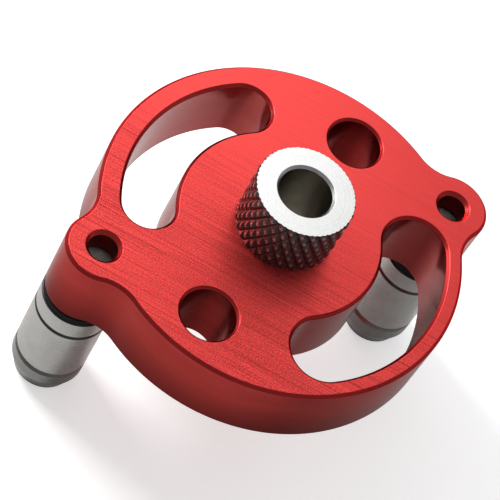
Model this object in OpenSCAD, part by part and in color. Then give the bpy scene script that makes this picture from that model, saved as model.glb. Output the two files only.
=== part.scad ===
// Self centering doweling jig.
// A thick round plate sits on the edge of a board. The two posts under its ears bear on the board's
// two faces when the jig is turned, which brings the drill bushing in the middle over the centre line.
//
// Frame: +Z runs up the drill, X through the two posts, z = 0 is the underside of the plate that rests
// on the board, and the origin is on the axis of the bushing. Millimetres.

/* [Plate] */
// Diameter of the round plate without its ears
disc_d = 70; // [67:0.5:74]
// Thickness of the plate
plate_h = 15; // [13:0.5:20]
// Distance between the axes of the two posts
post_spacing = 70.6; // [68:0.2:76]
// Outer radius of each ear
ear_r = 7; // [6.5:0.1:8]
// Radius of the hollow blend between an ear and the disc
ear_blend_r = 8; // [5:0.5:12]
// Chamfer on the outer edges and on the rims of the slots
edge_chamfer = 0.6; // [0.2:0.1:0.8]

/* [Slots and cross holes] */
// Width of the rim that the right slot leaves at the edge of the disc
slot_rim = 3.25; // [2.5:0.05:4]
// Width of the curved slot that ends beside the left ear
left_slot_w = 10; // [8:0.5:12]
// Width of the curved slot that ends beside the right ear
right_slot_w = 12.5; // [10:0.5:13]
// Direction of the slot's end that is away from its ear
slot_from = 88.5; // [80:0.5:95]
// Direction of the slot's end that is beside its ear
slot_to = 162.5; // [150:0.5:163]
// Diameter of the two plain cross holes
cross_hole_d = 10.4; // [8:0.1:11]
// Direction of the first cross hole, the other is opposite
cross_hole_at = 38; // [34:0.5:42]
// Chamfer on the rims of the round holes
hole_chamfer = 0.5; // [0.2:0.1:0.6]

/* [Drill bushing] */
// Bore that guides the drill
bore_d = 10.1; // [6:0.1:10.5]
// Diameter over the points of the knurl
head_d = 19.2; // [18.4:0.1:22]
// Height of the knurled head
head_h = 11.8; // [9:0.2:14]
// Outer diameter of the thread that holds the bushing
bushing_thread_d = 16; // [14:0.5:16.5]
// Number of diamonds around the head
knurl_count = 29; // [20:1:40]
// Half angle between the two crossing families of grooves
knurl_angle = 30; // [25:1:35]
// Depth of the grooves of the knurl
knurl_depth = 0.5; // [0.3:0.05:0.7]
// Break of the knurl at both ends of the head
knurl_break = 0.3; // [0.1:0.05:0.3]
// Chamfer where the drill enters the bore, and around the lower end of the shank
bore_chamfer = 0.5; // [0.2:0.1:0.7]
// Diameter of the relief groove under the head
relief_d = 13.8; // [13:0.1:14]
// Height of the relief groove under the head
relief_h = 1.6; // [1:0.1:2.5]

/* [Posts] */
// Outer diameter of the rollers, collars and noses
post_d = 14; // [12.5:0.1:15]
// Thickness of the black spacer washer
washer_h = 1.7; // [1:0.1:3]
// Outer diameter of the black spacer washer
washer_d = 13.7; // [11:0.1:14]
// Height of the collar ring
collar_h = 4.5; // [3:0.1:6]
// Length of the roller sleeve
roller_h = 14.6; // [8:0.1:25]
// Height of the nose below the roller
nose_h = 7.3; // [6.5:0.1:12]
// Diameter of the nose where its taper ends
nose_tip_d = 11.8; // [10.5:0.1:12]
// Length of the nose above its taper
nose_land_h = 3.2; // [2:0.1:5]
// Rounding of the nose's end
nose_round = 1; // [0.4:0.1:1.2]
// Diameter of the journal that the roller turns on
journal_d = 10; // [9:0.1:10.5]
// Outer diameter of the thread of the post screw
post_thread_d = 8; // [7:0.5:8.5]
// Height that the thread reaches up into the ear
post_thread_reach = 9; // [6:0.5:10]
// Diameter of the open hole above the thread, through the ear's upper face
ear_hole_d = 5.4; // [5:0.1:6.6]
// Chamfer of that hole at the upper face
ear_hole_chamfer = 0.75; // [0.2:0.05:0.9]
// Width across flats of the socket in the nose
socket_af = 6; // [4:0.5:6]
// Depth of the socket in the nose
socket_h = 4; // [2:0.5:5]
// Chamfer on the upper groove's two edges
upper_groove_chamfer = 0.35; // [0.1:0.05:0.6]
// Chamfer on the lower groove's two edges
lower_groove_chamfer = 0.6; // [0.1:0.05:0.8]

/* [Fits] */
// Radial clearance of a roller on its journal
roller_clearance = 0.05; // [0.02:0.01:0.1]
// Radial clearance of the bushing in the plate
bushing_clearance = 0.05; // [0.02:0.01:0.1]
// Radial clearance around the post screw's thread
thread_clearance = 0.05; // [0.02:0.01:0.1]
// End play of a roller at each end
roller_end_play = 0.2; // [0.1:0.05:0.3]

/* [Hidden] */
$fn = 96;

over = 1;                                  // how far a cutter runs past the face that it cuts
disc_r = disc_d / 2;
pitch_r = disc_r - slot_rim - right_slot_w / 2;   // the circle on which both slots and the cross holes lie
post_x = post_spacing / 2;
post_r = post_d / 2;

// heights of the joints in a post, counted down from the underside of the plate
collar_top = -washer_h;
collar_foot = collar_top - collar_h;
roller_top = collar_foot - roller_end_play;
roller_foot = roller_top - roller_h;
nose_top = roller_foot - roller_end_play;
tip_z = nose_top - nose_h;

// small breaks and reliefs that the photograph doesn't settle
tap_runout = 0.4;                          // tapped height left free above the screw's end
drill_point = 118;                         // angle of the cone that a drill leaves at the end of a hole
thread_end_chamfer = 0.6;                  // chamfer on the upper end of the post screw
washer_break = 0.2;                        // chamfer on both edges of a washer
collar_break = 0.15;                       // chamfer on a collar where it meets its washer
nose_round_step = 15;                      // degrees between the points of the nose's rounding
slot_plunge = 0.02;                        // how much wider a slot's ends are on each side than its arc
slot_lap = 1;                              // degrees by which a slot's round end runs on past its half turn

// where the hollow blend touches: its centre is blend away from both the disc and the ear
blend_to_disc = disc_r + ear_blend_r;
blend_to_ear = ear_r + ear_blend_r;
blend_x = (blend_to_disc ^ 2 - blend_to_ear ^ 2 + post_x ^ 2) / (2 * post_x);
blend_y = sqrt(blend_to_disc ^ 2 - blend_x ^ 2);

// knurl: rows of points and valleys, half a diamond apart
knurl_rows_wanted = head_h / (PI * head_d / knurl_count / 2 / tan(knurl_angle));
knurl_rows = max(2, round(knurl_rows_wanted));

red = [0.88, 0.2, 0.2];
steel = [0.66, 0.66, 0.64];
dark_steel = [0.3, 0.24, 0.23];
black = [0.08, 0.08, 0.08];

// ---- shared shapes ----

// A round bar between two heights, with its own chamfer at the foot and at the top
module bar(r, z0, z1, foot = 0, top = 0) {
    rotate_extrude()
        polygon([[0, z0], [r - foot, z0], [r, z0 + foot], [r, z1 - top], [r - top, z1], [0, z1]]);
}

// The half section of a cutter through the plate, from radius a to radius b, wider by c at both faces
module flared_section(a, b, c) {
    inner = a > 0 ? c + over : 0;
    outer = c + over;
    polygon([[a - inner, -over], [b + outer, -over], [b, c], [b, plate_h - c],
             [b + outer, plate_h + over], [a - inner, plate_h + over], [a, plate_h - c], [a, c]]);
}

// A round hole through the plate with a chamfer at both faces
module flared_hole(r, c) {
    rotate_extrude() flared_section(0, r, c);
}

module at_pitch(direction) {
    rotate([0, 0, direction]) translate([pitch_r, 0, 0]) children();
}

module at_post(side) {
    translate([side * post_x, 0, 0]) children();
}

// A ring that is bored to fit over a shaft
module ring(outer_r, inner_r, z0, z1, foot = 0, top = 0) {
    difference() {
        bar(outer_r, z0, z1, foot, top);
        translate([0, 0, z0 - over]) cylinder(r = inner_r, h = z1 - z0 + 2 * over);
    }
}

// ---- plate ----

// The web that fills the corner between the disc and one ear, hollowed by the blend's own radius
module ear_web(side, way) {
    difference() {
        linear_extrude(plate_h)
            polygon([[0, 0], [side * blend_x, way * blend_y], [side * post_x, 0]]);
        translate([side * blend_x, way * blend_y, 0]) flared_hole(ear_blend_r, edge_chamfer);
    }
}

module plate_blank() {
    bar(disc_r, 0, plate_h, edge_chamfer, edge_chamfer);
    for (side = [-1, 1]) {
        at_post(side) bar(ear_r, 0, plate_h, edge_chamfer, edge_chamfer);
        for (way = [-1, 1]) ear_web(side, way);
    }
}

// The round end of a slot. It is a hair wider than the slot and laps over its arc a little, so that
// the walls of the two cutters cross cleanly and never graze each other.
module slot_end(width, facing) {
    rotate([0, 0, facing - 90 - slot_lap]) rotate_extrude(angle = 180 + 2 * slot_lap)
        flared_section(0, width / 2 + slot_plunge, edge_chamfer);
}

// A curved slot on the pitch circle: an arc with a round end at both of its directions
module curved_slot(width, turn) {
    rotate([0, 0, turn]) {
        rotate([0, 0, slot_from]) rotate_extrude(angle = slot_to - slot_from)
            flared_section(pitch_r - width / 2, pitch_r + width / 2, edge_chamfer);
        at_pitch(slot_from) slot_end(width, -90);
        at_pitch(slot_to) slot_end(width, 90);
    }
}

// Tapped from below for the post screw, with a smaller hole left open above
module post_hole() {
    thread_r = post_thread_d / 2 + thread_clearance;
    open_r = ear_hole_d / 2;
    step_z = post_thread_reach + tap_runout;
    cone_h = (thread_r - open_r) / tan(drill_point / 2);
    rotate_extrude()
        polygon([[0, -over], [thread_r, -over], [thread_r, step_z],
                 [open_r, step_z + cone_h], [open_r, plate_h - ear_hole_chamfer],
                 [open_r + ear_hole_chamfer + over, plate_h + over], [0, plate_h + over]]);
}

module jig_plate() {
    color(red) difference() {
        plate_blank();
        curved_slot(left_slot_w, 0);
        curved_slot(right_slot_w, 180);
        for (turn = [0, 180])
            at_pitch(cross_hole_at + turn) flared_hole(cross_hole_d / 2, hole_chamfer);
        flared_hole(bushing_thread_d / 2 + bushing_clearance, hole_chamfer);
        for (side = [-1, 1]) at_post(side) post_hole();
    }
}

// ---- drill bushing ----

// Two families of grooves cross in a diamond knurl. In each row, points and crossings of grooves
// alternate, and the next row is shifted by one, so the faces are worked out from this grid.
function is_point(column, row) = (column + row) % 2 == 0;
function knurl_r(column, row) =
    !is_point(column, row) ? head_d / 2 - knurl_depth :
    row == 0 || row == knurl_rows ? head_d / 2 - knurl_break : head_d / 2;
function knurl_vertex(column, row) =
    let (r = knurl_r(column, row), a = 180 * column / knurl_count)
    [r * cos(a), r * sin(a), head_h * row / knurl_rows];

module knurled_head() {
    columns = 2 * knurl_count;
    points = [for (row = [0 : knurl_rows], column = [0 : columns - 1]) knurl_vertex(column, row)];
    function at(column, row) = row * columns + column % columns;
    walls = [for (row = [0 : knurl_rows - 1], column = [0 : columns - 1])
        let (a = at(column, row), b = at(column + 1, row), c = at(column + 1, row + 1), d = at(column, row + 1))
        each is_point(column, row) ? [[a, d, b], [b, d, c]] : [[a, d, c], [a, c, b]]];
    foot = [for (column = [0 : columns - 1]) at(column, 0)];
    face = [for (column = [columns - 1 : -1 : 0]) at(column, knurl_rows)];
    polyhedron(points, concat(walls, [foot, face]), convexity = 4);
}

module drill_bushing() {
    thread_r = bushing_thread_d / 2;
    relief_r = relief_d / 2;
    bore_r = bore_d / 2;
    total_h = plate_h + head_h;
    color(dark_steel) difference() {
        union() {
            translate([0, 0, plate_h]) knurled_head();
            rotate_extrude()
                polygon([[0, 0], [thread_r - bore_chamfer, 0], [thread_r, bore_chamfer],
                         [thread_r, plate_h - relief_h - thread_r + relief_r],
                         [relief_r, plate_h - relief_h], [relief_r, plate_h], [0, plate_h]]);
        }
        rotate_extrude()
            polygon([[0, -over], [bore_r, -over], [bore_r, total_h - bore_chamfer],
                     [bore_r + bore_chamfer + over, total_h + over], [0, total_h + over]]);
    }
}

// ---- posts ----

module washer() {
    color(black)
        ring(washer_d / 2, post_thread_d / 2 + thread_clearance, collar_top, 0,
             washer_break, washer_break);
}

module collar() {
    color(steel)
        ring(post_r, post_thread_d / 2 + thread_clearance, collar_foot, collar_top,
             upper_groove_chamfer, collar_break);
}

module roller() {
    color(steel)
        ring(post_r, journal_d / 2 + roller_clearance, roller_foot, roller_top,
             lower_groove_chamfer, upper_groove_chamfer);
}

// The screw that holds a post together: nose below, journal through the roller, thread up into the ear
module post_screw() {
    tip_r = nose_tip_d / 2;
    thread_r = post_thread_d / 2;
    journal_r = journal_d / 2;
    taper_z = tip_z + nose_round;
    round_steps = [for (a = [-90 : nose_round_step : 0])
        [tip_r - nose_round + nose_round * cos(a), taper_z + nose_round * sin(a)]];
    color(steel) difference() {
        rotate_extrude()
            polygon(concat([[0, tip_z]], round_steps,
                [[post_r, nose_top - nose_land_h], [post_r, nose_top - lower_groove_chamfer],
                 [post_r - lower_groove_chamfer, nose_top], [journal_r, nose_top],
                 [journal_r, collar_foot], [thread_r, collar_foot],
                 [thread_r, post_thread_reach - thread_end_chamfer],
                 [thread_r - thread_end_chamfer, post_thread_reach], [0, post_thread_reach]]));
        translate([0, 0, tip_z - over])
            cylinder(d = socket_af / cos(30), h = socket_h + over, $fn = 6);
    }
}

module left_post_screw() { at_post(-1) post_screw(); }
module right_post_screw() { at_post(1) post_screw(); }
module left_roller() { at_post(-1) roller(); }
module right_roller() { at_post(1) roller(); }
module left_collar() { at_post(-1) collar(); }
module right_collar() { at_post(1) collar(); }
module left_washer() { at_post(-1) washer(); }
module right_washer() { at_post(1) washer(); }

jig_plate();
drill_bushing();
left_post_screw();
right_post_screw();
left_roller();
right_roller();
left_collar();
right_collar();
left_washer();
right_washer();
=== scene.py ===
# %% [markdown]
# A self centering doweling jig: a thick red anodised disc that straddles a board. Two roller posts below
# its ears touch the board's two faces, and a drill goes down through the knurled bushing in the middle.
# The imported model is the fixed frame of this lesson. It says where every piece lies, in metres, and the
# pieces made here are finer versions of its solids: rounded edges, real threads and a pointed knurl.

import math

import bmesh
import bpy
import numpy as np
from mathutils import Matrix, Vector


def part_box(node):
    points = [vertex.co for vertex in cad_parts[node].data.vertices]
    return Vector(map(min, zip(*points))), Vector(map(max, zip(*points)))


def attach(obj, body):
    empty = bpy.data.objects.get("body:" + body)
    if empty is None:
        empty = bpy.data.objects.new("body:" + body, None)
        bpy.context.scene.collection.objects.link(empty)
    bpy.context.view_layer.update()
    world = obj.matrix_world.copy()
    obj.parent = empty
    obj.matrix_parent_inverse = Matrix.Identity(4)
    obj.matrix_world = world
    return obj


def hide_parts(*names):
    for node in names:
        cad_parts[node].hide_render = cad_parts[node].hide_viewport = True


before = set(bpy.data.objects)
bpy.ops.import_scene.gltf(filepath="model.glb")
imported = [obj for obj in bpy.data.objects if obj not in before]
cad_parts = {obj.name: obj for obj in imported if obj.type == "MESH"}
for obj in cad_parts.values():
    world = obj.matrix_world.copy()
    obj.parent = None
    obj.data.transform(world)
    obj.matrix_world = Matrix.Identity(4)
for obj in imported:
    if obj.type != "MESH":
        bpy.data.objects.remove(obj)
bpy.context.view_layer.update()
print("frame:", sorted(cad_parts))

# %% [markdown]
# Workshop drawings are in millimetres and Blender's file is in metres, so lengths are written in
# millimetres here and turned once. The main sizes come from the frame itself, so the looks and the
# solids can't drift apart.

# %% Main sizes from the frame
MM = 0.001


def extent(node):
    """The box of a node in millimetres: (x0, y0, z0), (x1, y1, z1)."""
    low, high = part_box(node)
    return [v / MM for v in low], [v / MM for v in high]


PLATE_H = extent("jig_plate")[1][2]
DISC_R = extent("jig_plate")[1][1]
POST_X = (extent("right_roller")[0][0] + extent("right_roller")[1][0]) / 2
POST_R = (extent("right_roller")[1][0] - extent("right_roller")[0][0]) / 2
EAR_R = extent("jig_plate")[1][0] - POST_X
HEAD_R, _, FACE_Z = extent("drill_bushing")[1]
WASHER_FOOT, COLLAR_FOOT = extent("left_washer")[0][2], extent("left_collar")[0][2]
ROLLER_FOOT, ROLLER_TOP = extent("left_roller")[0][2], extent("left_roller")[1][2]
TIP_Z, SCREW_TOP = extent("left_post_screw")[0][2], extent("left_post_screw")[1][2]
print(f"plate {PLATE_H:.2f} high, disc {DISC_R:.2f}, ear {EAR_R:.2f} at {POST_X:.2f}, "
      f"head {HEAD_R:.2f}, tip {TIP_Z:.2f}")

# %% [markdown]
# Both kinds of tree in this lesson, the finishes and the groove cutter, are sums of small nodes. One
# class wraps a socket, so that ordinary arithmetic adds the Math nodes, and one method adds any other
# node. It takes the node's type, its settings, and the values or links of its sockets.

# %% Node trees as arithmetic
class Signal:
    """A socket that carries a value. Arithmetic on it adds Math nodes to its tree."""

    def __init__(self, tree, socket):
        self.tree, self.socket = tree, socket

    def math(self, operation, *terms):
        return self.tree.node("ShaderNodeMath", {"operation": operation}, dict(enumerate(terms)))

    def also(self, name):
        """Another output of the same node."""
        return Signal(self.tree, pick(self.socket.node.outputs, name))

    def __add__(self, other): return self.math("ADD", self, other)
    def __radd__(self, other): return self.math("ADD", other, self)
    def __sub__(self, other): return self.math("SUBTRACT", self, other)
    def __rsub__(self, other): return self.math("SUBTRACT", other, self)
    def __mul__(self, other): return self.math("MULTIPLY", self, other)
    def __rmul__(self, other): return self.math("MULTIPLY", other, self)
    def __truediv__(self, other): return self.math("DIVIDE", self, other)
    def __rtruediv__(self, other): return self.math("DIVIDE", other, self)
    def __pow__(self, other): return self.math("POWER", self, other)
    def __rpow__(self, other): return self.math("POWER", other, self)
    def __abs__(self): return self.math("ABSOLUTE", self)
    def least(self, other): return self.math("MINIMUM", self, other)
    def most(self, other): return self.math("MAXIMUM", self, other)


def pick(sockets, key):
    """A socket by its place, its identifier or its name."""
    if isinstance(key, int):
        return sockets[key]
    for socket in sockets:
        if socket.identifier == key:
            return socket
    return next(socket for socket in sockets if socket.name == key)


class Tree:
    """A node tree that is emptied first, and the one method that adds nodes to it."""

    def __init__(self, tree):
        self.tree = tree
        tree.nodes.clear()

    def node(self, kind, settings=None, values=None, out=0):
        made = self.tree.nodes.new(kind)
        for key, value in (settings or {}).items():
            if key == "stops":
                ramp = made.color_ramp
                while len(ramp.elements) < len(value):
                    ramp.elements.new(1.0)
                for element, (place, colour) in zip(ramp.elements, value):
                    element.position, element.color = place, (*colour, 1.0)
            else:
                setattr(made, key, value)
        for key, value in (values or {}).items():
            socket = pick(made.inputs, key)
            if isinstance(value, Signal):
                self.tree.links.new(value.socket, socket)
            elif socket.type == "RGBA" and len(value) == 3:
                socket.default_value = (*value, 1.0)
            else:
                socket.default_value = value
        return Signal(self, pick(made.outputs, out) if len(made.outputs) else None)


print("node classes ready")

# %% [markdown]
# Most finishes need the same few signals: a place on the piece, turned and stretched, noise on it, a
# smooth step between two values, and a blend of two colours. They become short helpers.

# %% Helpers for finishes
class Finish(Tree):
    """A material made of one surface shader."""

    def __init__(self, name):
        self.material = bpy.data.materials.new(name)
        self.material.use_nodes = True
        super().__init__(self.material.node_tree)

    def place(self, turn=0.0, stretch=(1, 1, 1), shift=(0, 0, 0)):
        """The point on the piece in millimetres, turned about Z by degrees, shifted, then stretched."""
        here = self.node("ShaderNodeTexCoord", out="Object")
        turned_place = self.node("ShaderNodeMapping", {"vector_type": "POINT"}, {
            "Vector": here, "Rotation": (0, 0, math.radians(turn)), "Scale": (1 / MM, 1 / MM, 1 / MM),
            "Location": shift})
        return self.node("ShaderNodeVectorMath", {"operation": "MULTIPLY"}, {0: turned_place, 1: stretch})

    def noise(self, place, detail=2.0, rough=0.5):
        return self.node("ShaderNodeTexNoise", {"noise_dimensions": "3D"}, {
            "Vector": place, "Scale": 1.0, "Detail": detail, "Roughness": rough}, out="Fac")

    def step(self, value, low, high, at_low=0.0, at_high=1.0):
        return self.node("ShaderNodeMapRange", {"interpolation_type": "SMOOTHSTEP"}, {
            "Value": value, "From Min": low, "From Max": high, "To Min": at_low, "To Max": at_high}, out="Result")

    def blend(self, share, first, second):
        return self.node("ShaderNodeMix", {"data_type": "RGBA"}, {
            "Factor_Float": share, "A_Color": first, "B_Color": second}, out="Result_Color")

    def bump(self, height, depth):
        return self.node("ShaderNodeBump", None, {
            "Height": height, "Strength": 1.0, "Distance": depth * MM}, out="Normal")

    def done(self, **sockets):
        """Sets the shader's sockets, with underscores for the spaces of their names."""
        values = {key.replace("_", " "): value for key, value in sockets.items()}
        shader = self.node("ShaderNodeBsdfPrincipled", None, values, out="BSDF")
        self.node("ShaderNodeOutputMaterial", None, {"Surface": shader})
        return self.material


finishes = {}
print("finish helpers ready")

# %% [markdown]
# The plate's two flat faces are brushed before they are anodised. The lines of the brush run straight
# across the whole face in one direction, so a noise is stretched about seventy times along it. A thinner
# one leaves a few long scratches, and a short one is the grain of the blasted metal below. Together they
# change the colour, the roughness and the bump. The brush pressed harder on one side of the plate, so the
# lines grow across it. The dye sits in the oxide above bare aluminium, so the red stays metallic.

# %% Brushed red top
BRUSH_TURN = 41
PRESS_WAY = (-0.78, -0.63)
PRESS_FROM, PRESS_TO = -20.0, 22.0
LIGHT_HAND, FIRM_HAND = 0.3, 1.9

top = Finish("anodised_brushed")
fine = top.noise(top.place(BRUSH_TURN, (0.06, 4.2, 1.0)), detail=3.0, rough=0.65)
wide = top.noise(top.place(BRUSH_TURN, (0.014, 0.9, 1.0), (3, 7, 0)), detail=2.0)
scratch = top.step(top.noise(top.place(BRUSH_TURN, (0.012, 3.4, 1.0), (11, 2, 5)), detail=1.0), 0.63, 0.68)
grain = top.noise(top.place(BRUSH_TURN, (3.6, 5.2, 5.0), (2, 5, 1)), detail=2.0, rough=0.7)
cloud = top.noise(top.place(0, (0.05, 0.05, 0.05)), detail=1.0)
spot = top.node("ShaderNodeSeparateXYZ", None, {0: top.place()}, out="X")
pressed = top.step(spot * PRESS_WAY[0] + spot.also("Y") * PRESS_WAY[1],
                   PRESS_FROM, PRESS_TO, LIGHT_HAND, FIRM_HAND)
lines = ((fine - 0.5) * 0.6 + (wide - 0.5) * 0.12 + (grain - 0.5) * 1.0 - scratch * 0.2) * pressed
red = top.blend(top.step(lines, -0.42, 0.42), (0.42, 0.032, 0.030), (0.98, 0.086, 0.081))
finishes["top"] = top.done(
    Base_Color=red, Metallic=0.95, Normal=top.bump(lines, 0.05),
    Roughness=0.31 + (wide - 0.5) * 0.14 + scratch * 0.12 + (cloud - 0.5) * 0.06)
print("brushed lines run at", -BRUSH_TURN, "degrees")

# %% [markdown]
# The walls and chamfers are milled and left smooth, so the oxide on them is glossy and mirrors the surroundings.
# Each kind of face has its own copy of the red, painted for how light falls on it: painted shade on the outer walls
# and in the holes, a paler painted sheen in the slots, and painted highlights on the chamfers and countersinks.
# Faint rings left by the milling cutter run along the walls, and a slow wave keeps the reflection from being
# perfectly straight. The edge tint is the colour at a flat angle: pale in the slots, and dark on the chamfers,
# which gives the far rim its thin dark line.

# %% Smooth red walls and chamfers
def smooth_red(name, light, dark, roughness, edge_tint, painted_foot_shade=1.0):
    """How much of the colour a painted shade leaves at the plate's lower rim: the wall is painted darker towards
    the bottom.
    """
    wall = Finish(name)
    rings = wall.noise(wall.place(0, (0.05, 0.05, 5.0)), detail=2.0)
    wave = wall.noise(wall.place(0, (0.12, 0.12, 0.3), (5, 1, 2)), detail=1.5)
    speck = wall.noise(wall.place(0, (2.2, 2.2, 2.2)), detail=2.0)
    tone = (rings - 0.5) * 0.3 + (wave - 0.5) * 0.6 + (speck - 0.5) * 0.2
    colour = wall.blend(wall.step(tone, -0.3, 0.3), dark, light)
    # Painted shade: the wall's colour darkens towards the plate's lower rim.
    if painted_foot_shade < 1.0:
        height = wall.node("ShaderNodeSeparateXYZ", None, {0: wall.place()}, out="Z")
        painted_foot_colour = tuple(painted_foot_shade * channel for channel in dark)
        colour = wall.blend(wall.step(height, -1.0, 0.8 * PLATE_H, 1.0, 0.0), colour, painted_foot_colour)
    return wall.done(
        Base_Color=colour, Metallic=1.0, Specular_Tint=(*edge_tint, 1.0),
        Roughness=roughness + (wave - 0.5) * 0.08 + (rings - 0.5) * 0.06,
        Normal=wall.bump(rings + wave * 2.0, 0.01))


# Painted shade: the walls' copy of the red is darker than the top's, and darker still towards the lower rim.
finishes["wall"] = smooth_red(
    "anodised_wall_painted_shade", (0.41, 0.040, 0.036), (0.34, 0.030, 0.026), 0.2, (0.9, 0.72, 0.70), painted_foot_shade=0.4)
# Painted sheen: the slot walls' copy of the red is paler and pinker than the outer walls'.
finishes["slot"] = smooth_red(
    "anodised_slot_painted_sheen", (0.37, 0.064, 0.059), (0.29, 0.046, 0.042), 0.2, (0.95, 0.92, 0.91))
# Painted highlight: the chamfers' copy of the red is lighter than the walls'.
finishes["edge"] = smooth_red(
    "anodised_edge_painted_highlight", (0.68, 0.052, 0.052), (0.56, 0.038, 0.038), 0.28, (0.34, 0.24, 0.28))
# Painted highlight: the ear holes' countersinks get a lighter, pinker copy of the red.
finishes["countersink"] = smooth_red(
    "anodised_countersink_painted_highlight", (0.76, 0.066, 0.060), (0.62, 0.046, 0.042), 0.26, (0.95, 0.80, 0.79))
# Painted shade: the walls of the holes get the darkest copy of the red.
finishes["drilled"] = smooth_red(
    "anodised_hole_painted_shade", (0.23, 0.018, 0.016), (0.14, 0.010, 0.009), 0.26, (0.9, 0.7, 0.68))
print("red finishes:", sorted(finishes))

# %% [markdown]
# The steel pieces are turned, so their marks run round the axis. On a face they are rings of the radius,
# on a barrel they are rings of the height. Both are one signal that is fed to a thin noise, and a slower
# noise around the piece breaks the rings up.

# %% Steel finishes
def turned_steel(name, light, dark, roughness, marks="height", pitch=3.0, depth=0.01, wear=0.5, crest_polish_and_glint=None):
    """The colour that lightens the points of a piece whose grooves are cut: partly polish from hands, partly a
    painted glint.
    """
    steel = Finish(name)
    split = steel.node("ShaderNodeSeparateXYZ", None, {0: steel.place()}, out="X")
    across = (split * split + split.also("Y") * split.also("Y")) ** 0.5
    along = across if marks == "radius" else split.also("Z")
    ring_place = steel.node("ShaderNodeCombineXYZ", None, {"X": along * pitch, "Y": 0.0, "Z": 0.0})
    rings = steel.noise(ring_place, detail=3.0, rough=0.7)
    cloud = steel.noise(steel.place(0, (0.22, 0.22, 0.22), (4, 9, 3)), detail=3.0)
    grain = steel.noise(steel.place(0, (3.0, 3.0, 3.0)), detail=2.0)
    tone = (rings - 0.5) * wear + (cloud - 0.5) * 0.5 + (grain - 0.5) * 0.25
    colour = steel.blend(steel.step(tone, -0.3, 0.3), dark, light)
    # Polish and painted glint: the crests of the grooves are lightened.
    if crest_polish_and_glint:
        ridge = steel.node("ShaderNodeAttribute", {"attribute_name": "ridge"}, out="Fac")
        colour = steel.blend(steel.step(ridge + (grain - 0.5) * 0.4, 0.75, 1.05), colour, crest_polish_and_glint)
    return steel.done(
        Base_Color=colour, Metallic=1.0,
        Roughness=roughness + (cloud - 0.5) * 0.12 + (rings - 0.5) * 0.1,
        Normal=steel.bump(rings + grain * 0.3, depth))


finishes["face"] = turned_steel(
    "bushing_face", (0.72, 0.72, 0.715), (0.56, 0.56, 0.555), 0.26, "radius", pitch=2.6, depth=0.008)
# Painted shade: the knurl's steel is much darker than the face's, and its crests are lightened.
finishes["knurl"] = turned_steel(
    "bushing_knurl_painted_shade_and_glint", (0.14, 0.135, 0.133), (0.07, 0.067, 0.066), 0.42, wear=0.2, crest_polish_and_glint=(0.52, 0.49, 0.48))
# Painted shade: the bore and the shank's end are darker than the face.
finishes["bore"] = turned_steel("bushing_bore_painted_shade", (0.36, 0.355, 0.30), (0.20, 0.195, 0.16), 0.24, depth=0.012)
finishes["thread"] = turned_steel("screw_thread", (0.46, 0.44, 0.42), (0.30, 0.28, 0.27), 0.34)
finishes["barrel"] = turned_steel(
    "post_barrel", (0.51, 0.51, 0.49), (0.40, 0.395, 0.375), 0.28, pitch=2.2, wear=0.35)
# Painted shade: the nose is darker than the barrel.
finishes["nose"] = turned_steel(
    "post_nose_painted_shade", (0.32, 0.32, 0.305), (0.21, 0.205, 0.195), 0.26, pitch=2.2, wear=0.35)
# Painted shade: the faces and edges beside the gaps are near black.
finishes["rim"] = turned_steel("post_rim_painted_gap_shade", (0.15, 0.145, 0.14), (0.09, 0.085, 0.08), 0.3)
# Painted shade, less dark: the two broken edges beside the lower gap.
finishes["worn_rim"] = turned_steel("post_lower_gap_rim_shade", (0.34, 0.33, 0.32), (0.24, 0.235, 0.23), 0.32)
# Painted shade: the socket and the rings' bores are darker than the nose.
finishes["inside"] = turned_steel("post_inside_painted_shade", (0.20, 0.20, 0.19), (0.12, 0.12, 0.11), 0.4)
print("finishes so far:", sorted(finishes))

# %% [markdown]
# The spacer washer is the only piece that isn't metal. It is matt black, with a fine moulded grain.

# %% Black washer finish
rubber = Finish("washer_matt_black")
moulded = rubber.noise(rubber.place(0, (2.5, 2.5, 2.5)), detail=3.0)
dust = rubber.noise(rubber.place(0, (0.3, 0.3, 0.3)), detail=2.0)
finishes["washer"] = rubber.done(
    Base_Color=rubber.blend(dust, (0.004, 0.004, 0.004), (0.010, 0.009, 0.008)), Specular_IOR_Level=0.12,
    Roughness=0.7 + (dust - 0.5) * 0.2, Normal=rubber.bump(moulded, 0.02))
print("the washer's finish is", rubber.material.name)

# %% [markdown]
# The upper end of a post screw is seen deep in the ear's open hole. It is sawn off and dull, so it isn't a mirror
# for the red wall around it: it is shaded almost like a grey stone. Its grey is painted light, so that it still
# shows in the shade of the hole.

# %% Dull screw end
sawn = Finish("screw_end_painted_light")
skin = sawn.noise(sawn.place(0, (0.9, 0.9, 0.9)), detail=3.0)
# Painted light: the screw end's grey is light enough to show in the hole's shade.
finishes["screw_end"] = sawn.done(
    Base_Color=sawn.blend(skin, (0.26, 0.30, 0.28), (0.84, 0.92, 0.87)), Metallic=0.15,
    Roughness=0.5 + (skin - 0.5) * 0.3, Normal=sawn.bump(skin, 0.03))
print(len(finishes), "finishes")

# %% [markdown]
# A machined edge is never a mathematical corner: it catches a thin line of light. One helper rounds the
# corners of any profile. It also puts a point a little before and after each corner, so that smooth
# shading stays on the small round and doesn't bleed over the flat or the wall beside it.

# %% Softened profiles
EASE, ROUND_STEPS = 0.12, 3
STRAIGHT_ENOUGH = math.radians(6)
MOST_REACH, MOST_GUARD = 0.35, 0.45
GUARD_STEP, GUARD_GAP, ROW_GAP = 1.5, 0.03, 0.01


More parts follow.
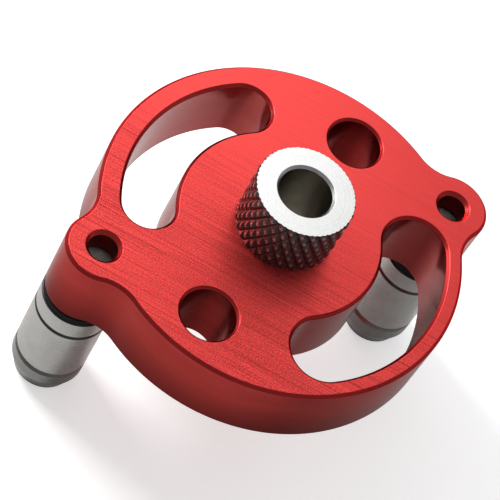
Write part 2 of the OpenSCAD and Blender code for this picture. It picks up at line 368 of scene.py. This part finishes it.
def soften(points, ease=EASE, closed=True):
    """Rounds the corners of a profile of (across, up, part). A point's part names the line that follows it."""
    out, count = [], len(points)
    for i, (x, y, part) in enumerate(points):
        if not closed and i in (0, count - 1):
            out.append((x, y, part))
            continue
        here = np.array((x, y), float)
        before = np.array(points[i - 1][:2], float) - here
        after = np.array(points[(i + 1) % count][:2], float) - here
        long_before, long_after = np.linalg.norm(before), np.linalg.norm(after)
        before, after = before / long_before, after / long_after
        turn = math.pi - math.acos(max(-1.0, min(1.0, float(before @ after))))
        if turn < STRAIGHT_ENOUGH:
            out.append((x, y, part))
            continue
        reach = min(ease * math.tan(turn / 2), MOST_REACH * long_before, MOST_REACH * long_after)
        radius = reach / math.tan(turn / 2)
        middle = here + (before + after) / np.linalg.norm(before + after) * radius / math.cos(turn / 2)
        came = points[i - 1][2]
        start, end = here + before * reach - middle, here + after * reach - middle
        out.append((*(here + before * min(GUARD_STEP * reach + GUARD_GAP, MOST_GUARD * long_before)), came))
        for k in range(ROUND_STEPS + 1):
            share = k / ROUND_STEPS
            arm = start * math.sin((1 - share) * turn) + end * math.sin(share * turn)
            out.append((*(middle + arm / math.sin(turn)), came if share < 0.5 else part))
        out.append((*(here + after * min(GUARD_STEP * reach + GUARD_GAP, MOST_GUARD * long_after)), part))
    return out


def with_rows(profile, part, heights):
    """Adds points at these heights on the upright lines of one part."""
    out = []
    for i, point in enumerate(profile):
        out.append(point)
        after = profile[(i + 1) % len(profile)]
        if point[2] != part or abs(point[0] - after[0]) > 1e-6:
            continue
        low, high = sorted((point[1], after[1]))
        inside = [h for h in heights if low + ROW_GAP < h < high - ROW_GAP]
        out += [(point[0], h, part) for h in sorted(inside, reverse=bool(after[1] < point[1]))]
    return out


print("a softened square has", len(soften([(0, 0, ""), (4, 0, ""), (4, 4, ""), (0, 4, "")])), "points")

# %% [markdown]
# Every mesh is made from a grid of points: rows of a profile, columns around it. These helpers turn such
# a grid into a piece. They keep the name of the part on each face, to choose its finish, and a mask on
# each point that says where grooves will be cut later.

# %% From a grid to a piece
SAME_POINT, NO_LENGTH = 1e-7, 1e-8


def shown(name, points, faces, parts, masks):
    """A piece from points in millimetres. Faces take the finish that finishes[part] names."""
    mesh = bpy.data.meshes.new(name)
    mesh.from_pydata([Vector(p) * MM for p in points], [], faces)
    slots = sorted(set(parts))
    for part in slots:
        mesh.materials.append(finishes[part])
    for polygon, part in zip(mesh.polygons, parts):
        polygon.material_index = slots.index(part)
        polygon.use_smooth = part != "knurl"
    for mask, values in masks.items():
        layer = mesh.attributes.new(mask, "FLOAT", "POINT")
        layer.data.foreach_set("value", values)
    piece = bpy.data.objects.new(name, mesh)
    bpy.context.scene.collection.objects.link(piece)
    return piece


def tidy(piece):
    """Merges the doubled points at poles and joins, and turns every face outwards."""
    work = bmesh.new()
    work.from_mesh(piece.data)
    bmesh.ops.remove_doubles(work, verts=work.verts, dist=SAME_POINT)
    bmesh.ops.dissolve_degenerate(work, edges=work.edges, dist=NO_LENGTH)
    bmesh.ops.recalc_face_normals(work, faces=work.faces)
    open_edges = sum(1 for edge in work.edges if len(edge.link_faces) != 2)
    work.to_mesh(piece.data)
    work.free()
    print(f"{piece.name}: {len(piece.data.polygons)} faces, {open_edges} open edges")
    return piece


print("mesh helpers ready")

# %% [markdown]
# The bushing, rollers, collars, washers and screws are turned on a lathe. A lathe part is a closed
# profile carried round an axis. It is built as one grid, so its walls, bore and faces meet without a
# seam. The hexagonal socket fits the same grid, because only the radius of its rows changes with the
# angle.

# %% Turned pieces
SHARP_DEGREES = 34


def hexagon(angles):
    """How far a hexagon's wall lies from the axis, for one unit from its centre to a flat."""
    return 1 / np.cos(np.mod(angles, math.pi / 3) - math.pi / 6)


def turned(name, profile, columns, centre, finish, masked=None, diagonal=None):
    """A closed profile of (radius, height, part) round an upright axis at x = centre.

    finish maps a part to a finish, and masked maps a mask's name to the parts that it covers."""
    angles = np.arange(columns) * 2 * math.pi / columns
    points, rows = [], len(profile)
    masked = masked or {}
    masks = {mask: [] for mask in masked}
    for i, (radius, height, part) in enumerate(profile):
        reach = radius * (hexagon(angles) if part in ("socket", "socket_mouth") else np.ones(columns))
        points += [(centre + r * math.cos(a), r * math.sin(a), height) for a, r in zip(angles, reach)]
        for mask, covered in masked.items():
            masks[mask] += [1.0 if part in covered or profile[i - 1][2] in covered else 0.0] * columns
    faces, parts = [], []
    for i in range(rows):
        after = (i + 1) % rows
        if profile[i][0] < 1e-6 and profile[after][0] < 1e-6:
            continue
        for j in range(columns):
            k = (j + 1) % columns
            a, b, c, d = i * columns + j, i * columns + k, after * columns + k, after * columns + j
            cut = diagonal(profile[i], profile[after], j) if diagonal else None
            made = [(a, b, c, d)] if cut is None else [(a, b, c), (a, c, d)] if cut else [(a, b, d), (b, c, d)]
            faces += made
            parts += [finish[profile[i][2]]] * len(made)
    return tidy(shown(name, points, faces, parts, masks))


def crisp(piece):
    """Keeps smooth shading only across the flatter edges."""
    piece.data.set_sharp_from_angle(angle=math.radians(SHARP_DEGREES))
    return piece


print("a hexagon's corners lie at", round(float(hexagon(np.array([0.0]))[0]), 3), "of its flats' distance")

# %% [markdown]
# Knurls and threads are one idea: V grooves that run round a bar on a slope. A diamond knurl has many
# grooves in two crossing families, a thread has one. Geometry Nodes suit such a rule. The tree below
# works out how deep the grooves are at each point and moves the point in or out to that surface. A
# point that already lies below it stays, which is what gives a knurled rim its scallops and a thread
# its runout. Faces that lie level, such as the head's face, keep their own finish.

# %% The groove cutter
LEVEL_FACE = 0.95

group = bpy.data.node_groups.new("groove_cutter", "GeometryNodeTree")
cut = Tree(group)
group.interface.new_socket("Geometry", in_out="OUTPUT", socket_type="NodeSocketGeometry")
groove_input = {}
for label, kind in (("Geometry", "Geometry"), ("Mask", "String"), ("Axis X", "Float"), ("Surface radius", "Float"),
                    ("Side", "Float"), ("Grooves", "Float"), ("Rise", "Float"), ("Start height", "Float"),
                    ("Depth", "Float"), ("Flat share", "Float"), ("Crossed", "Float"), ("Finish", "Material")):
    groove_input[label] = group.interface.new_socket(
        label, in_out="INPUT", socket_type="NodeSocket" + kind).identifier
given = cut.node("NodeGroupInput", out="Geometry")


def named(label):
    return given.also(label)


where = cut.node("ShaderNodeSeparateXYZ", None, {0: cut.node("GeometryNodeInputPosition")}, out="X")
x, y, z = where - named("Axis X"), where.also("Y"), where.also("Z")
radius = (x * x + y * y) ** 0.5
around = radius.math("ARCTAN2", y, x) * (0.5 / math.pi) * named("Grooves") + 0.5
climb = (z - named("Start height")) / named("Rise")


def far_from_groove(phase):
    """0 in the middle of a groove and 1 halfway between two."""
    return 2.0 * abs(phase - phase.math("ROUND", phase))


first = far_from_groove(around - climb)
second = far_from_groove(around + climb).most(1.0 - named("Crossed"))
ridge = (first.least(second) / (1.0 - named("Flat share"))).least(1.0)
surface = named("Side") * named("Surface radius") - named("Depth") * (1.0 - ridge)
wanted = named("Side") * (named("Side") * radius).least(surface)
moved = cut.node("ShaderNodeCombineXYZ", None, {
    "X": named("Axis X") + x * wanted / radius, "Y": y * wanted / radius, "Z": z})
covered = cut.node("GeometryNodeInputNamedAttribute", {"data_type": "FLOAT"}, {
    "Name": named("Mask")}, out="Attribute")
inside = cut.node("FunctionNodeCompare", {"data_type": "FLOAT", "operation": "GREATER_THAN"}, {
    "A": covered, "B": 0.99}, out="Result")
marked = cut.node("GeometryNodeStoreNamedAttribute", {"data_type": "FLOAT", "domain": "POINT"}, {
    "Geometry": named("Geometry"), "Selection": inside, "Name": "ridge", "Value": ridge})
shaped = cut.node("GeometryNodeSetPosition", None, {"Geometry": marked, "Selection": inside, "Position": moved})
real = cut.node("GeometryNodeRealizeInstances", None, {"Geometry": shaped})
slope = cut.node("ShaderNodeSeparateXYZ", None, {0: cut.node("GeometryNodeInputNormal")}, out="Z")
steep = cut.node("FunctionNodeCompare", {"data_type": "FLOAT", "operation": "LESS_THAN"}, {
    "A": abs(slope), "B": LEVEL_FACE}, out="Result")
grooved_faces = cut.node("FunctionNodeBooleanMath", {"operation": "AND"}, {0: inside, 1: steep})
finished = cut.node("GeometryNodeSetMaterial", None, {
    "Geometry": real, "Selection": grooved_faces, "Material": named("Finish")})
cut.node("NodeGroupOutput", None, {"Geometry": finished})
print("groove cutter:", len(group.nodes), "nodes,", len(groove_input), "inputs")

# %% [markdown]
# The tree hangs on a piece as a modifier. Its inputs are set by the sockets' identifiers, and then the
# evaluated result is taken as a plain mesh, so that nothing live is left on the piece.

# %% Cutting grooves
LENGTHS = ("Axis X", "Surface radius", "Rise", "Start height", "Depth")


def grooved(piece, **sizes):
    """Cuts one pattern into a piece. Lengths are in millimetres, and underscores stand for spaces."""
    modifier = piece.modifiers.new("grooves", "NODES")
    modifier.node_group = group
    for key, value in sizes.items():
        label = key.replace("_", " ")
        modifier[groove_input[label]] = value * MM if label in LENGTHS else value
    bpy.context.view_layer.update()
    graph = bpy.context.evaluated_depsgraph_get()
    solved = bpy.data.meshes.new_from_object(
        piece.evaluated_get(graph), preserve_all_data_layers=True, depsgraph=graph)
    piece.modifiers.clear()
    piece.data = solved
    print(f"{piece.name}: grooves cut, {len(solved.polygons)} faces")
    return piece


print("modifier inputs:", list(groove_input.values())[:3], "...")

# %% [markdown]
# The plate's outline is drawn the way a mill would follow it: arcs that touch each other. The disc, the
# two ears and the hollow blends between them share tangents, so the outline can be moved inwards along
# its own normals to give a chamfer of even width. Each loop is a list of points with a normal that
# points away from the metal.

# %% Loops of the plate
BLEND_R = 8.0
PITCH_R = 25.5
SLOT_FROM, SLOT_TO = 88.5, 162.5
EAR_STEP, DISC_STEP = 3.5, 1.0
OUTER_STEP, INNER_STEP, END_STEP = 1.2, 1.8, 5
HOLE_COLUMNS = 72


def arc(cx, cy, r, start, end, step, out=1):
    """Points on an arc in degrees without its last one, with normals along (out=1) or against the radius."""
    count = max(2, round(abs(end - start) / step))
    angles = np.radians(start + (end - start) * np.arange(count) / count)
    return [(cx + r * math.cos(a), cy + r * math.sin(a), out * math.cos(a), out * math.sin(a)) for a in angles]


def on_pitch(turn):
    return PITCH_R * math.cos(math.radians(turn)), PITCH_R * math.sin(math.radians(turn))


def outline():
    """Ear, blend, disc, blend, ear and back, where each arc starts in the direction that the last one ends in."""
    to_disc, to_ear = DISC_R + BLEND_R, EAR_R + BLEND_R
    bx = (to_disc ** 2 - to_ear ** 2 + POST_X ** 2) / (2 * POST_X)
    by = math.sqrt(to_disc ** 2 - bx ** 2)
    at_disc, at_ear = math.degrees(math.atan2(by, bx)), math.degrees(math.atan2(by, bx - POST_X))
    return (arc(POST_X, 0, EAR_R, -at_ear, at_ear, EAR_STEP)
            + arc(bx, by, BLEND_R, at_ear + 180, at_disc + 180, EAR_STEP, -1)
            + arc(0, 0, DISC_R, at_disc, 180 - at_disc, DISC_STEP)
            + arc(-bx, by, BLEND_R, -at_disc, -at_ear, EAR_STEP, -1)
            + arc(-POST_X, 0, EAR_R, 180 - at_ear, 180 + at_ear, EAR_STEP)
            + arc(-bx, -by, BLEND_R, at_ear, at_disc, EAR_STEP, -1)
            + arc(0, 0, DISC_R, 180 + at_disc, 360 - at_disc, DISC_STEP)
            + arc(bx, -by, BLEND_R, 180 - at_disc, 180 - at_ear, EAR_STEP, -1))


def slot(width, turn):
    """A curved slot on the pitch circle, turned about the middle of the plate."""
    start, end, half = SLOT_FROM + turn, SLOT_TO + turn, width / 2
    return (arc(0, 0, PITCH_R + half, start, end, OUTER_STEP, -1)
            + arc(*on_pitch(end), half, end, end + 180, END_STEP, -1)
            + arc(0, 0, PITCH_R - half, end, start, INNER_STEP, 1)
            + arc(*on_pitch(start), half, start + 180, start + 360, END_STEP, -1))


def hole(cx, cy, r, columns=HOLE_COLUMNS):
    return arc(cx, cy, r, 0, 360, 360 / columns, -1)


print("outline points:", len(outline()), "slot points:", len(slot(10, 0)), len(slot(12.5, 180)))

# %% [markdown]
# Each loop carries an edge profile: how far the wall lies inside the metal at each height. The same
# helper rounds these profiles, so chamfers and walls meet in a small round as they do on a deburred
# part. A ring of flat face runs along every rim, and the rest of the two flat faces is filled between
# those rings.

# %% Rims of the plate
THREAD_PITCH, ROWS_PER_TURN, MOST_ROWS = 1.5, 8, 120
CHAMFER, HOLE_CHAMFER, EAR_CHAMFER = 0.6, 0.5, 0.75
FLAT_RING, EAR_RING = 0.5, 0.45
TAPPED_INSET, TAP_TOP, CONE_TOP = 1.35, 9.4, 10.21


def rows_up(start, pitch):
    """Heights one above the other, eight to a pitch. with_rows keeps those that its part has room for."""
    return [start + pitch / ROWS_PER_TURN * k for k in range(MOST_ROWS)]


def rim(chamfer, wall):
    return soften([
        (chamfer + FLAT_RING, PLATE_H, "top"), (chamfer, PLATE_H, "edge"), (0, PLATE_H - chamfer, wall),
        (0, chamfer, "edge"), (chamfer, 0, "top"), (chamfer + FLAT_RING, 0, "top")], closed=False)


def thread_rim():
    return with_rows(rim(HOLE_CHAMFER, "drilled"), "drilled", rows_up(HOLE_CHAMFER, THREAD_PITCH))


def ear_rim():
    """Open hole above, and below it the wider hole that is tapped for the post screw."""
    return soften([
        (EAR_CHAMFER + EAR_RING, PLATE_H, "top"), (EAR_CHAMFER, PLATE_H, "countersink"),
        (0, PLATE_H - EAR_CHAMFER, "drilled"), (0, CONE_TOP, "drilled"), (TAPPED_INSET, TAP_TOP, "drilled"),
        (TAPPED_INSET, 0, "top"), (TAPPED_INSET + EAR_RING, 0, "top")], closed=False)


print("points on a rim:", len(rim(CHAMFER, "wall")), "on the threaded one:", len(thread_rim()))

# %% [markdown]
# The eight loops are the outline, the two slots, the threaded hole in the middle, the two cross holes and
# the two ear holes. Each becomes a band of wall from the top ring to the bottom ring. The points between
# the chamfers of the middle hole carry the mask for its thread.

# %% Walls of the plate
SLOT_WIDTH, WIDE_SLOT_WIDTH = 10.0, 12.5
HUB_R, HUB_COLUMNS = 8.05, 96
CROSS_R, CROSS_TURNS = 5.2, (38, 218)
EAR_HOLE_R, EAR_HOLE_COLUMNS = 2.7, 64

loops = [(outline(), rim(CHAMFER, "wall")),
         (slot(SLOT_WIDTH, 0), rim(CHAMFER, "slot")), (slot(WIDE_SLOT_WIDTH, 180), rim(CHAMFER, "slot")),
         (hole(0, 0, HUB_R, HUB_COLUMNS), thread_rim())]
loops += [(hole(*on_pitch(turn), CROSS_R), rim(HOLE_CHAMFER, "drilled")) for turn in CROSS_TURNS]
loops += [(hole(side * POST_X, 0, EAR_HOLE_R, EAR_HOLE_COLUMNS), ear_rim()) for side in (-1, 1)]

points, faces, parts, tapped, rings = [], [], [], [], []
for loop, profile in loops:
    columns, base = len(loop), len(points)
    for inset, height, part in profile:
        points += [(px - nx * inset, py - ny * inset, height) for px, py, nx, ny in loop]
        is_thread = columns == HUB_COLUMNS and part == "drilled" and abs(inset) < 1e-6
        tapped += [1.0 if is_thread else 0.0] * columns
    for i in range(len(profile) - 1):
        for j in range(columns):
            a, b = base + i * columns + j, base + i * columns + (j + 1) % columns
            faces.append((a, b, b + columns, a + columns))
            parts.append(profile[i][2])
    last = base + (len(profile) - 1) * columns
    rings += [[(start + j, start + (j + 1) % columns) for j in range(columns)] for start in (base, last)]
plate = shown("red_plate", points, faces, parts, {"tapped": tapped})
print("walls:", len(faces), "faces on", len(loops), "loops")

# %% [markdown]
# The two flat faces are filled between their rings, the upper rings first and then the lower ones. After
# that the plate is closed, and the groove cutter can cut the thread of the middle hole.

# %% Flat faces and thread of the plate
HUB_THREAD_DEPTH = 0.75

work = bmesh.new()
work.from_mesh(plate.data)
work.verts.ensure_lookup_table()
for which, facing in ((0, 1), (1, -1)):
    edges = [work.edges.get((work.verts[a], work.verts[b])) for ring in rings[which::2] for a, b in ring]
    filled = bmesh.ops.triangle_fill(
        work, use_beauty=True, use_dissolve=False, edges=edges, normal=(0, 0, facing))
    for face in filled["geom"]:
        if isinstance(face, bmesh.types.BMFace):
            face.material_index, face.smooth = sorted(set(parts)).index("top"), False
work.to_mesh(plate.data)
work.free()
tidy(plate)
grooved(plate, Mask="tapped", Axis_X=0.0, Surface_radius=HUB_R, Side=-1.0, Grooves=1.0,
        Rise=THREAD_PITCH, Start_height=0.0, Depth=HUB_THREAD_DEPTH, Flat_share=0.2, Crossed=0.0,
        Finish=finishes["drilled"])
crisp(plate)

# %% [markdown]
# The drill bushing is one turned piece: a knurled head to hold, a threaded shank below it, and the bore
# that guides the drill. The knurl's grid has eight columns and eight rows for each diamond, and its
# squares are split along the grooves, so every facet of a diamond comes out flat and sharp.

# %% The bushing
BORE_R, KNURL_COUNT, DIAMOND_H, GRID = 5.05, 29, 3.6, 8
SHANK_R, RELIEF_R, RELIEF_FOOT = 8.0, 6.9, PLATE_H - 1.6
BORE_CHAMFER, SHANK_CHAMFER, LIP, BREAK = 0.5, 0.5, 0.8, 0.3
KNURL_DEPTH, SHANK_THREAD_DEPTH = 0.5, 0.8
THIN_EASE = 0.08

profile = soften([
    (BORE_R, 0, "bore"), (BORE_R, FACE_Z - BORE_CHAMFER, "mouth"), (BORE_R + BORE_CHAMFER, FACE_Z, "face"),
    (HEAD_R - LIP, FACE_Z, "lip"), (HEAD_R - BREAK, FACE_Z, "break"), (HEAD_R, FACE_Z - BREAK, "knurl"),
    (HEAD_R, PLATE_H + BREAK, "break"), (HEAD_R - BREAK, PLATE_H, "under"), (RELIEF_R, PLATE_H, "relief"),
    (RELIEF_R, RELIEF_FOOT, "runout"), (SHANK_R, RELIEF_FOOT - SHANK_R + RELIEF_R, "thread"),
    (SHANK_R, SHANK_CHAMFER, "tip"), (SHANK_R - SHANK_CHAMFER, 0, "end")], ease=THIN_EASE)
profile = with_rows(profile, "knurl", rows_up(PLATE_H, DIAMOND_H))
profile = with_rows(profile, "thread", rows_up(0, THREAD_PITCH))
BUSHING_FINISH = {
    "bore": "bore", "mouth": "face", "face": "face", "lip": "face", "break": "knurl", "knurl": "knurl",
    "under": "thread", "relief": "thread", "runout": "thread", "thread": "thread", "tip": "thread", "end": "bore"}


def along_grooves(row, after, column):
    """Which diagonal of a square follows the groove that crosses it. None keeps a square whole."""
    if row[2] != "knurl" or after[2] != "knurl":
        return None
    step = round((min(row[1], after[1]) - PLATE_H) / (DIAMOND_H / GRID))
    return (column - step) % GRID != GRID // 2 and (column + step + 1) % GRID == GRID // 2


bushing = turned("drill_guide", profile, KNURL_COUNT * GRID, 0.0, BUSHING_FINISH,
                 {"knurled": {"lip", "break", "knurl"}, "threaded": {"thread"}}, along_grooves)
grooved(bushing, Mask="knurled", Axis_X=0.0, Surface_radius=HEAD_R, Side=1.0, Grooves=float(KNURL_COUNT),
        Rise=DIAMOND_H, Start_height=PLATE_H, Depth=KNURL_DEPTH, Flat_share=0.25, Crossed=1.0,
        Finish=finishes["knurl"])
grooved(bushing, Mask="threaded", Axis_X=0.0, Surface_radius=SHANK_R, Side=1.0, Grooves=1.0,
        Rise=THREAD_PITCH, Start_height=0.0, Depth=SHANK_THREAD_DEPTH, Flat_share=0.2, Crossed=0.0,
        Finish=finishes["thread"])
crisp(bushing)

# %% [markdown]
# A post is four pieces on one screw: a black washer against the ear, a collar, a roller that turns
# freely, and the nose, which is the screw's own head. Thin gaps at both ends of the roller let it run.
# They show as two dark lines on the barrel, darkened further by the painted shade on the rims beside them. The
# screw comes first: its profile runs from the hexagon socket in the nose, out over the tip's round and up the
# journal to the thread's end.

# %% Profile of the post screw
JOURNAL_R, SCREW_R, SCREW_PITCH, SCREW_THREAD_DEPTH = 5.0, 4.0, 1.2, 0.6
END_PLAY, WIDE_BREAK = 0.2, 0.6
NOSE_TOP, NOSE_LAND = ROLLER_FOOT - END_PLAY, 3.2
TIP_R, NOSE_ROUND, END_R = 5.9, 1.0, 3.8
SOCKET_R, SOCKET_DEPTH, SOCKET_RIM = 3.0, 4, 0.3
FIRST_ROW, SCREW_EASE = 0.3, 0.1

nose_arc = [(TIP_R - NOSE_ROUND + NOSE_ROUND * math.sin(t), TIP_Z + NOSE_ROUND - NOSE_ROUND * math.cos(t), "nose")
            for t in np.radians(np.arange(0, 91, 15))]
socket = [(0, TIP_Z + SOCKET_DEPTH, "floor"), (SOCKET_R, TIP_Z + SOCKET_DEPTH, "socket"),
          (SOCKET_R, TIP_Z + SOCKET_RIM, "socket_mouth")]
outside = soften([(END_R, TIP_Z, "end")] + nose_arc + [
    (POST_R, NOSE_TOP - NOSE_LAND, "nose"), (POST_R, NOSE_TOP - WIDE_BREAK, "break"),
    (POST_R - WIDE_BREAK, NOSE_TOP, "shoulder"), (JOURNAL_R, NOSE_TOP, "journal"),
    (JOURNAL_R, COLLAR_FOOT, "shoulder"), (SCREW_R, COLLAR_FOOT, "thread"),
    (SCREW_R, SCREW_TOP - WIDE_BREAK, "tip"), (SCREW_R - WIDE_BREAK, SCREW_TOP, "top"),
    (0, SCREW_TOP, "top")], ease=SCREW_EASE, closed=False)
screw_profile = with_rows(socket + outside, "thread", rows_up(FIRST_ROW, SCREW_PITCH))
SCREW_FINISH = {
    "floor": "inside", "socket": "inside", "socket_mouth": "nose", "end": "nose", "nose": "nose",
    "shoulder": "rim", "break": "worn_rim", "journal": "barrel", "thread": "thread", "tip": "screw_end",
    "top": "screw_end"}
print("the screw's profile has", len(screw_profile), "points")

# %% [markdown]
# The roller, the collar and the washer are plain rings with broken edges. Their faces and edges beside the gaps are
# painted dark, as painted shade in the gaps. The two edges beside the lower gap are broken wider, and painted less
# dark than the other rims.

# %% The posts
POST_COLUMNS = 96
CLEARANCE = 0.05
ROLLER_BREAK, COLLAR_BREAK, COLLAR_TOP_BREAK = 0.45, 0.35, 0.15
WASHER_R, WASHER_FACE_R, WASHER_BREAK = 6.85, 6.65, 0.2
ROLLER = [
    (JOURNAL_R + CLEARANCE, ROLLER_TOP, "rim"), (POST_R - ROLLER_BREAK, ROLLER_TOP, "rim"),
    (POST_R, ROLLER_TOP - ROLLER_BREAK, "barrel"), (POST_R, ROLLER_FOOT + WIDE_BREAK, "worn_rim"),
    (POST_R - WIDE_BREAK, ROLLER_FOOT, "rim"), (JOURNAL_R + CLEARANCE, ROLLER_FOOT, "inside")]
COLLAR = [
    (SCREW_R + CLEARANCE, WASHER_FOOT, "rim"), (POST_R - COLLAR_TOP_BREAK, WASHER_FOOT, "rim"),
    (POST_R, WASHER_FOOT - COLLAR_TOP_BREAK, "barrel"), (POST_R, COLLAR_FOOT + COLLAR_BREAK, "rim"),
    (POST_R - COLLAR_BREAK, COLLAR_FOOT, "rim"), (SCREW_R + CLEARANCE, COLLAR_FOOT, "inside")]
WASHER = [
    (SCREW_R + CLEARANCE, 0, "washer"), (WASHER_FACE_R, 0, "washer"), (WASHER_R, -WASHER_BREAK, "washer"),
    (WASHER_R, WASHER_FOOT + WASHER_BREAK, "washer"), (WASHER_FACE_R, WASHER_FOOT, "washer"),
    (SCREW_R + CLEARANCE, WASHER_FOOT, "washer")]


def ring_piece(name, side, profile):
    """A ring on a post, whose parts are named after their finishes."""
    finish = {part: part for _, _, part in profile}
    return crisp(turned(name, soften(profile, ease=THIN_EASE), POST_COLUMNS, side * POST_X, finish))


posts = {}
for side, word in ((-1, "left"), (1, "right")):
    screw = turned(f"{word}_nose_screw", screw_profile, POST_COLUMNS, side * POST_X, SCREW_FINISH,
                   {"threaded": {"thread"}})
    grooved(screw, Mask="threaded", Axis_X=side * POST_X, Surface_radius=SCREW_R, Side=1.0, Grooves=1.0,
            Rise=SCREW_PITCH, Start_height=0.0, Depth=SCREW_THREAD_DEPTH, Flat_share=0.2, Crossed=0.0,
            Finish=finishes["thread"])
    posts[word] = {
        "post_screw": crisp(screw),
        "roller": ring_piece(f"{word}_roller_sleeve", side, ROLLER),
        "collar": ring_piece(f"{word}_collar_ring", side, COLLAR),
        "washer": ring_piece(f"{word}_spacer", side, WASHER)}
print("posts:", {word: list(pieces) for word, pieces in posts.items()})

# %% [markdown]
# Each piece rides on the body of the node that it stands for. The screws, collars and washers are fixed
# to the plate, the two rollers turn, and the bushing comes out upwards.

# %% Riding on the frame
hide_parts("jig_plate")
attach(plate, "jig")
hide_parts("drill_bushing")
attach(bushing, "bushing")
for word, pieces in posts.items():
    for node, piece in pieces.items():
        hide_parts(f"{word}_{node}")
        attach(piece, f"{word}_roller_body" if node == "roller" else "jig")
        "washer_black" if node == "washer" else "post_steel"

# %% [markdown]
# The floor is a plain pale sheet at the height of the post tips. Its own paint is a little below white,
# and the missing part is added only where the camera, a mirror or glass looks at it, so the sheet reads
# as white and still keeps the soft shadow.

# %% The floor
FLOOR_HALF, FLOOR_GAP = 2, 0.02
SEEN_SHARE, MIRRORED_SHARE = 0.54, 0.08

corners = [(FLOOR_HALF * x, FLOOR_HALF * y, (TIP_Z - FLOOR_GAP) * MM)
           for x, y in ((-1, -1), (1, -1), (1, 1), (-1, 1))]
floor_mesh = bpy.data.meshes.new("floor")
floor_mesh.from_pydata(corners, [], [(0, 1, 2, 3)])
floor = bpy.data.objects.new("floor", floor_mesh)
bpy.context.scene.collection.objects.link(floor)
sheet = Finish("floor_paper")
seen = sheet.node("ShaderNodeLightPath", out="Is Camera Ray")
share = seen.most(seen.also("Is Transmission Ray")) * SEEN_SHARE
share = share.most(seen.also("Is Glossy Ray") * MIRRORED_SHARE)
fibre = sheet.noise(sheet.place(0, (0.4, 0.4, 0.4)), detail=2.0)
paper = sheet.node("ShaderNodeBsdfDiffuse", None, {
    "Color": sheet.blend(fibre, (0.66, 0.66, 0.66), (0.69, 0.69, 0.69))}, out="BSDF")
glow = sheet.node("ShaderNodeEmission", None, {"Color": (1, 1, 1), "Strength": share}, out="Emission")
both = sheet.node("ShaderNodeAddShader", None, {0: paper, 1: glow}, out="Shader")
sheet.node("ShaderNodeOutputMaterial", None, {"Surface": both})
floor_mesh.materials.append(sheet.material)
print("floor at", round(TIP_Z, 2), "mm")

# %% [markdown]
# The camera was fitted to the photograph, by the plate's outline, holes and slots. EYE is its place, BACK
# the direction from the object to it, and ROLL the turn of the picture about that direction, which is why
# the plate leans in the picture.

# %% The camera
SENSOR, LENS = 36.0, 172.8
NEAREST, FARTHEST = 0.01, 10.0
EYE = Vector((-189.5156, -184.1954, 360.6486)) * MM
BACK = Vector((-0.421516, -0.418926, 0.804255)).normalized()
LEVEL_TURN, ROLL = -0.78848, 0.56256

camera_data = bpy.data.cameras.new("camera")
camera_data.sensor_width, camera_data.lens = SENSOR, LENS
camera_data.clip_start, camera_data.clip_end = NEAREST, FARTHEST
camera = bpy.data.objects.new("camera", camera_data)
level = Vector((math.cos(LEVEL_TURN), math.sin(LEVEL_TURN), 0.0))
level = (level - BACK * level.dot(BACK)).normalized()
upward = BACK.cross(level)
right = level * math.cos(ROLL) + upward * math.sin(ROLL)
above = upward * math.cos(ROLL) - level * math.sin(ROLL)
camera.matrix_world = Matrix([(*axes, place) for axes, place in zip(zip(right, above, BACK), EYE)] + [(0, 0, 0, 1)])
bpy.context.scene.collection.objects.link(camera)
bpy.context.scene.camera = camera
print("camera", round(EYE.length, 3), "m from the origin")

# %% [markdown]
# Metal shows its surroundings more than its own colour, so the light is mostly a studio that is bright
# on the side that the plate's top mirrors into the camera, and dim behind the camera. The world gives
# that slow change, and two large soft lamps add direction and the shadows.

# %% Studio light
DIM_SIDE, BRIGHT_SIDE = 0.20, 0.68
DIM_FROM, BRIGHT_FROM = 0.1, 0.97
MIRROR_WAY = (-BACK.x, -BACK.y, BACK.z)

world = bpy.data.worlds.new("studio")
world.use_nodes = True
bpy.context.scene.world = world
sky = Tree(world.node_tree)
way = sky.node("ShaderNodeTexCoord", out="Generated")
towards = sky.node("ShaderNodeVectorMath", {"operation": "DOT_PRODUCT"}, {0: way, 1: MIRROR_WAY}, out="Value")
light = sky.node("ShaderNodeMapRange", {"interpolation_type": "SMOOTHSTEP"}, {
    "Value": towards, "From Min": DIM_FROM, "From Max": BRIGHT_FROM,
    "To Min": DIM_SIDE, "To Max": BRIGHT_SIDE}, out="Result")
air = sky.node("ShaderNodeBackground", None, {"Color": (1, 1, 1), "Strength": light}, out="Background")
sky.node("ShaderNodeOutputWorld", None, {"Surface": air})


def soft_lamp(name, place, size, power):
    """A square lamp that looks at the origin."""
    data = bpy.data.lights.new(name, "AREA")
    data.shape, data.size, data.energy = "SQUARE", size, power
    lamp = bpy.data.objects.new(name, data)
    lamp.location = Vector(place)
    lamp.rotation_euler = (-Vector(place)).to_track_quat("-Z", "Y").to_euler()
    lamp.visible_camera = False
    bpy.context.scene.collection.objects.link(lamp)
    print(f"{name}: {power} W, {size} m")


soft_lamp("key", (-0.45, 0.85, 0.80), 0.4, 14.0)
soft_lamp("panel", (0.072, 0.340, 0.295), 0.4, 0.66)

# %% [markdown]
# The picture is shown as it is lit, without a film curve. The visual pieces must stay inside the box of
# the solids.

# %% The end
bpy.context.scene.view_settings.view_transform = "Standard"
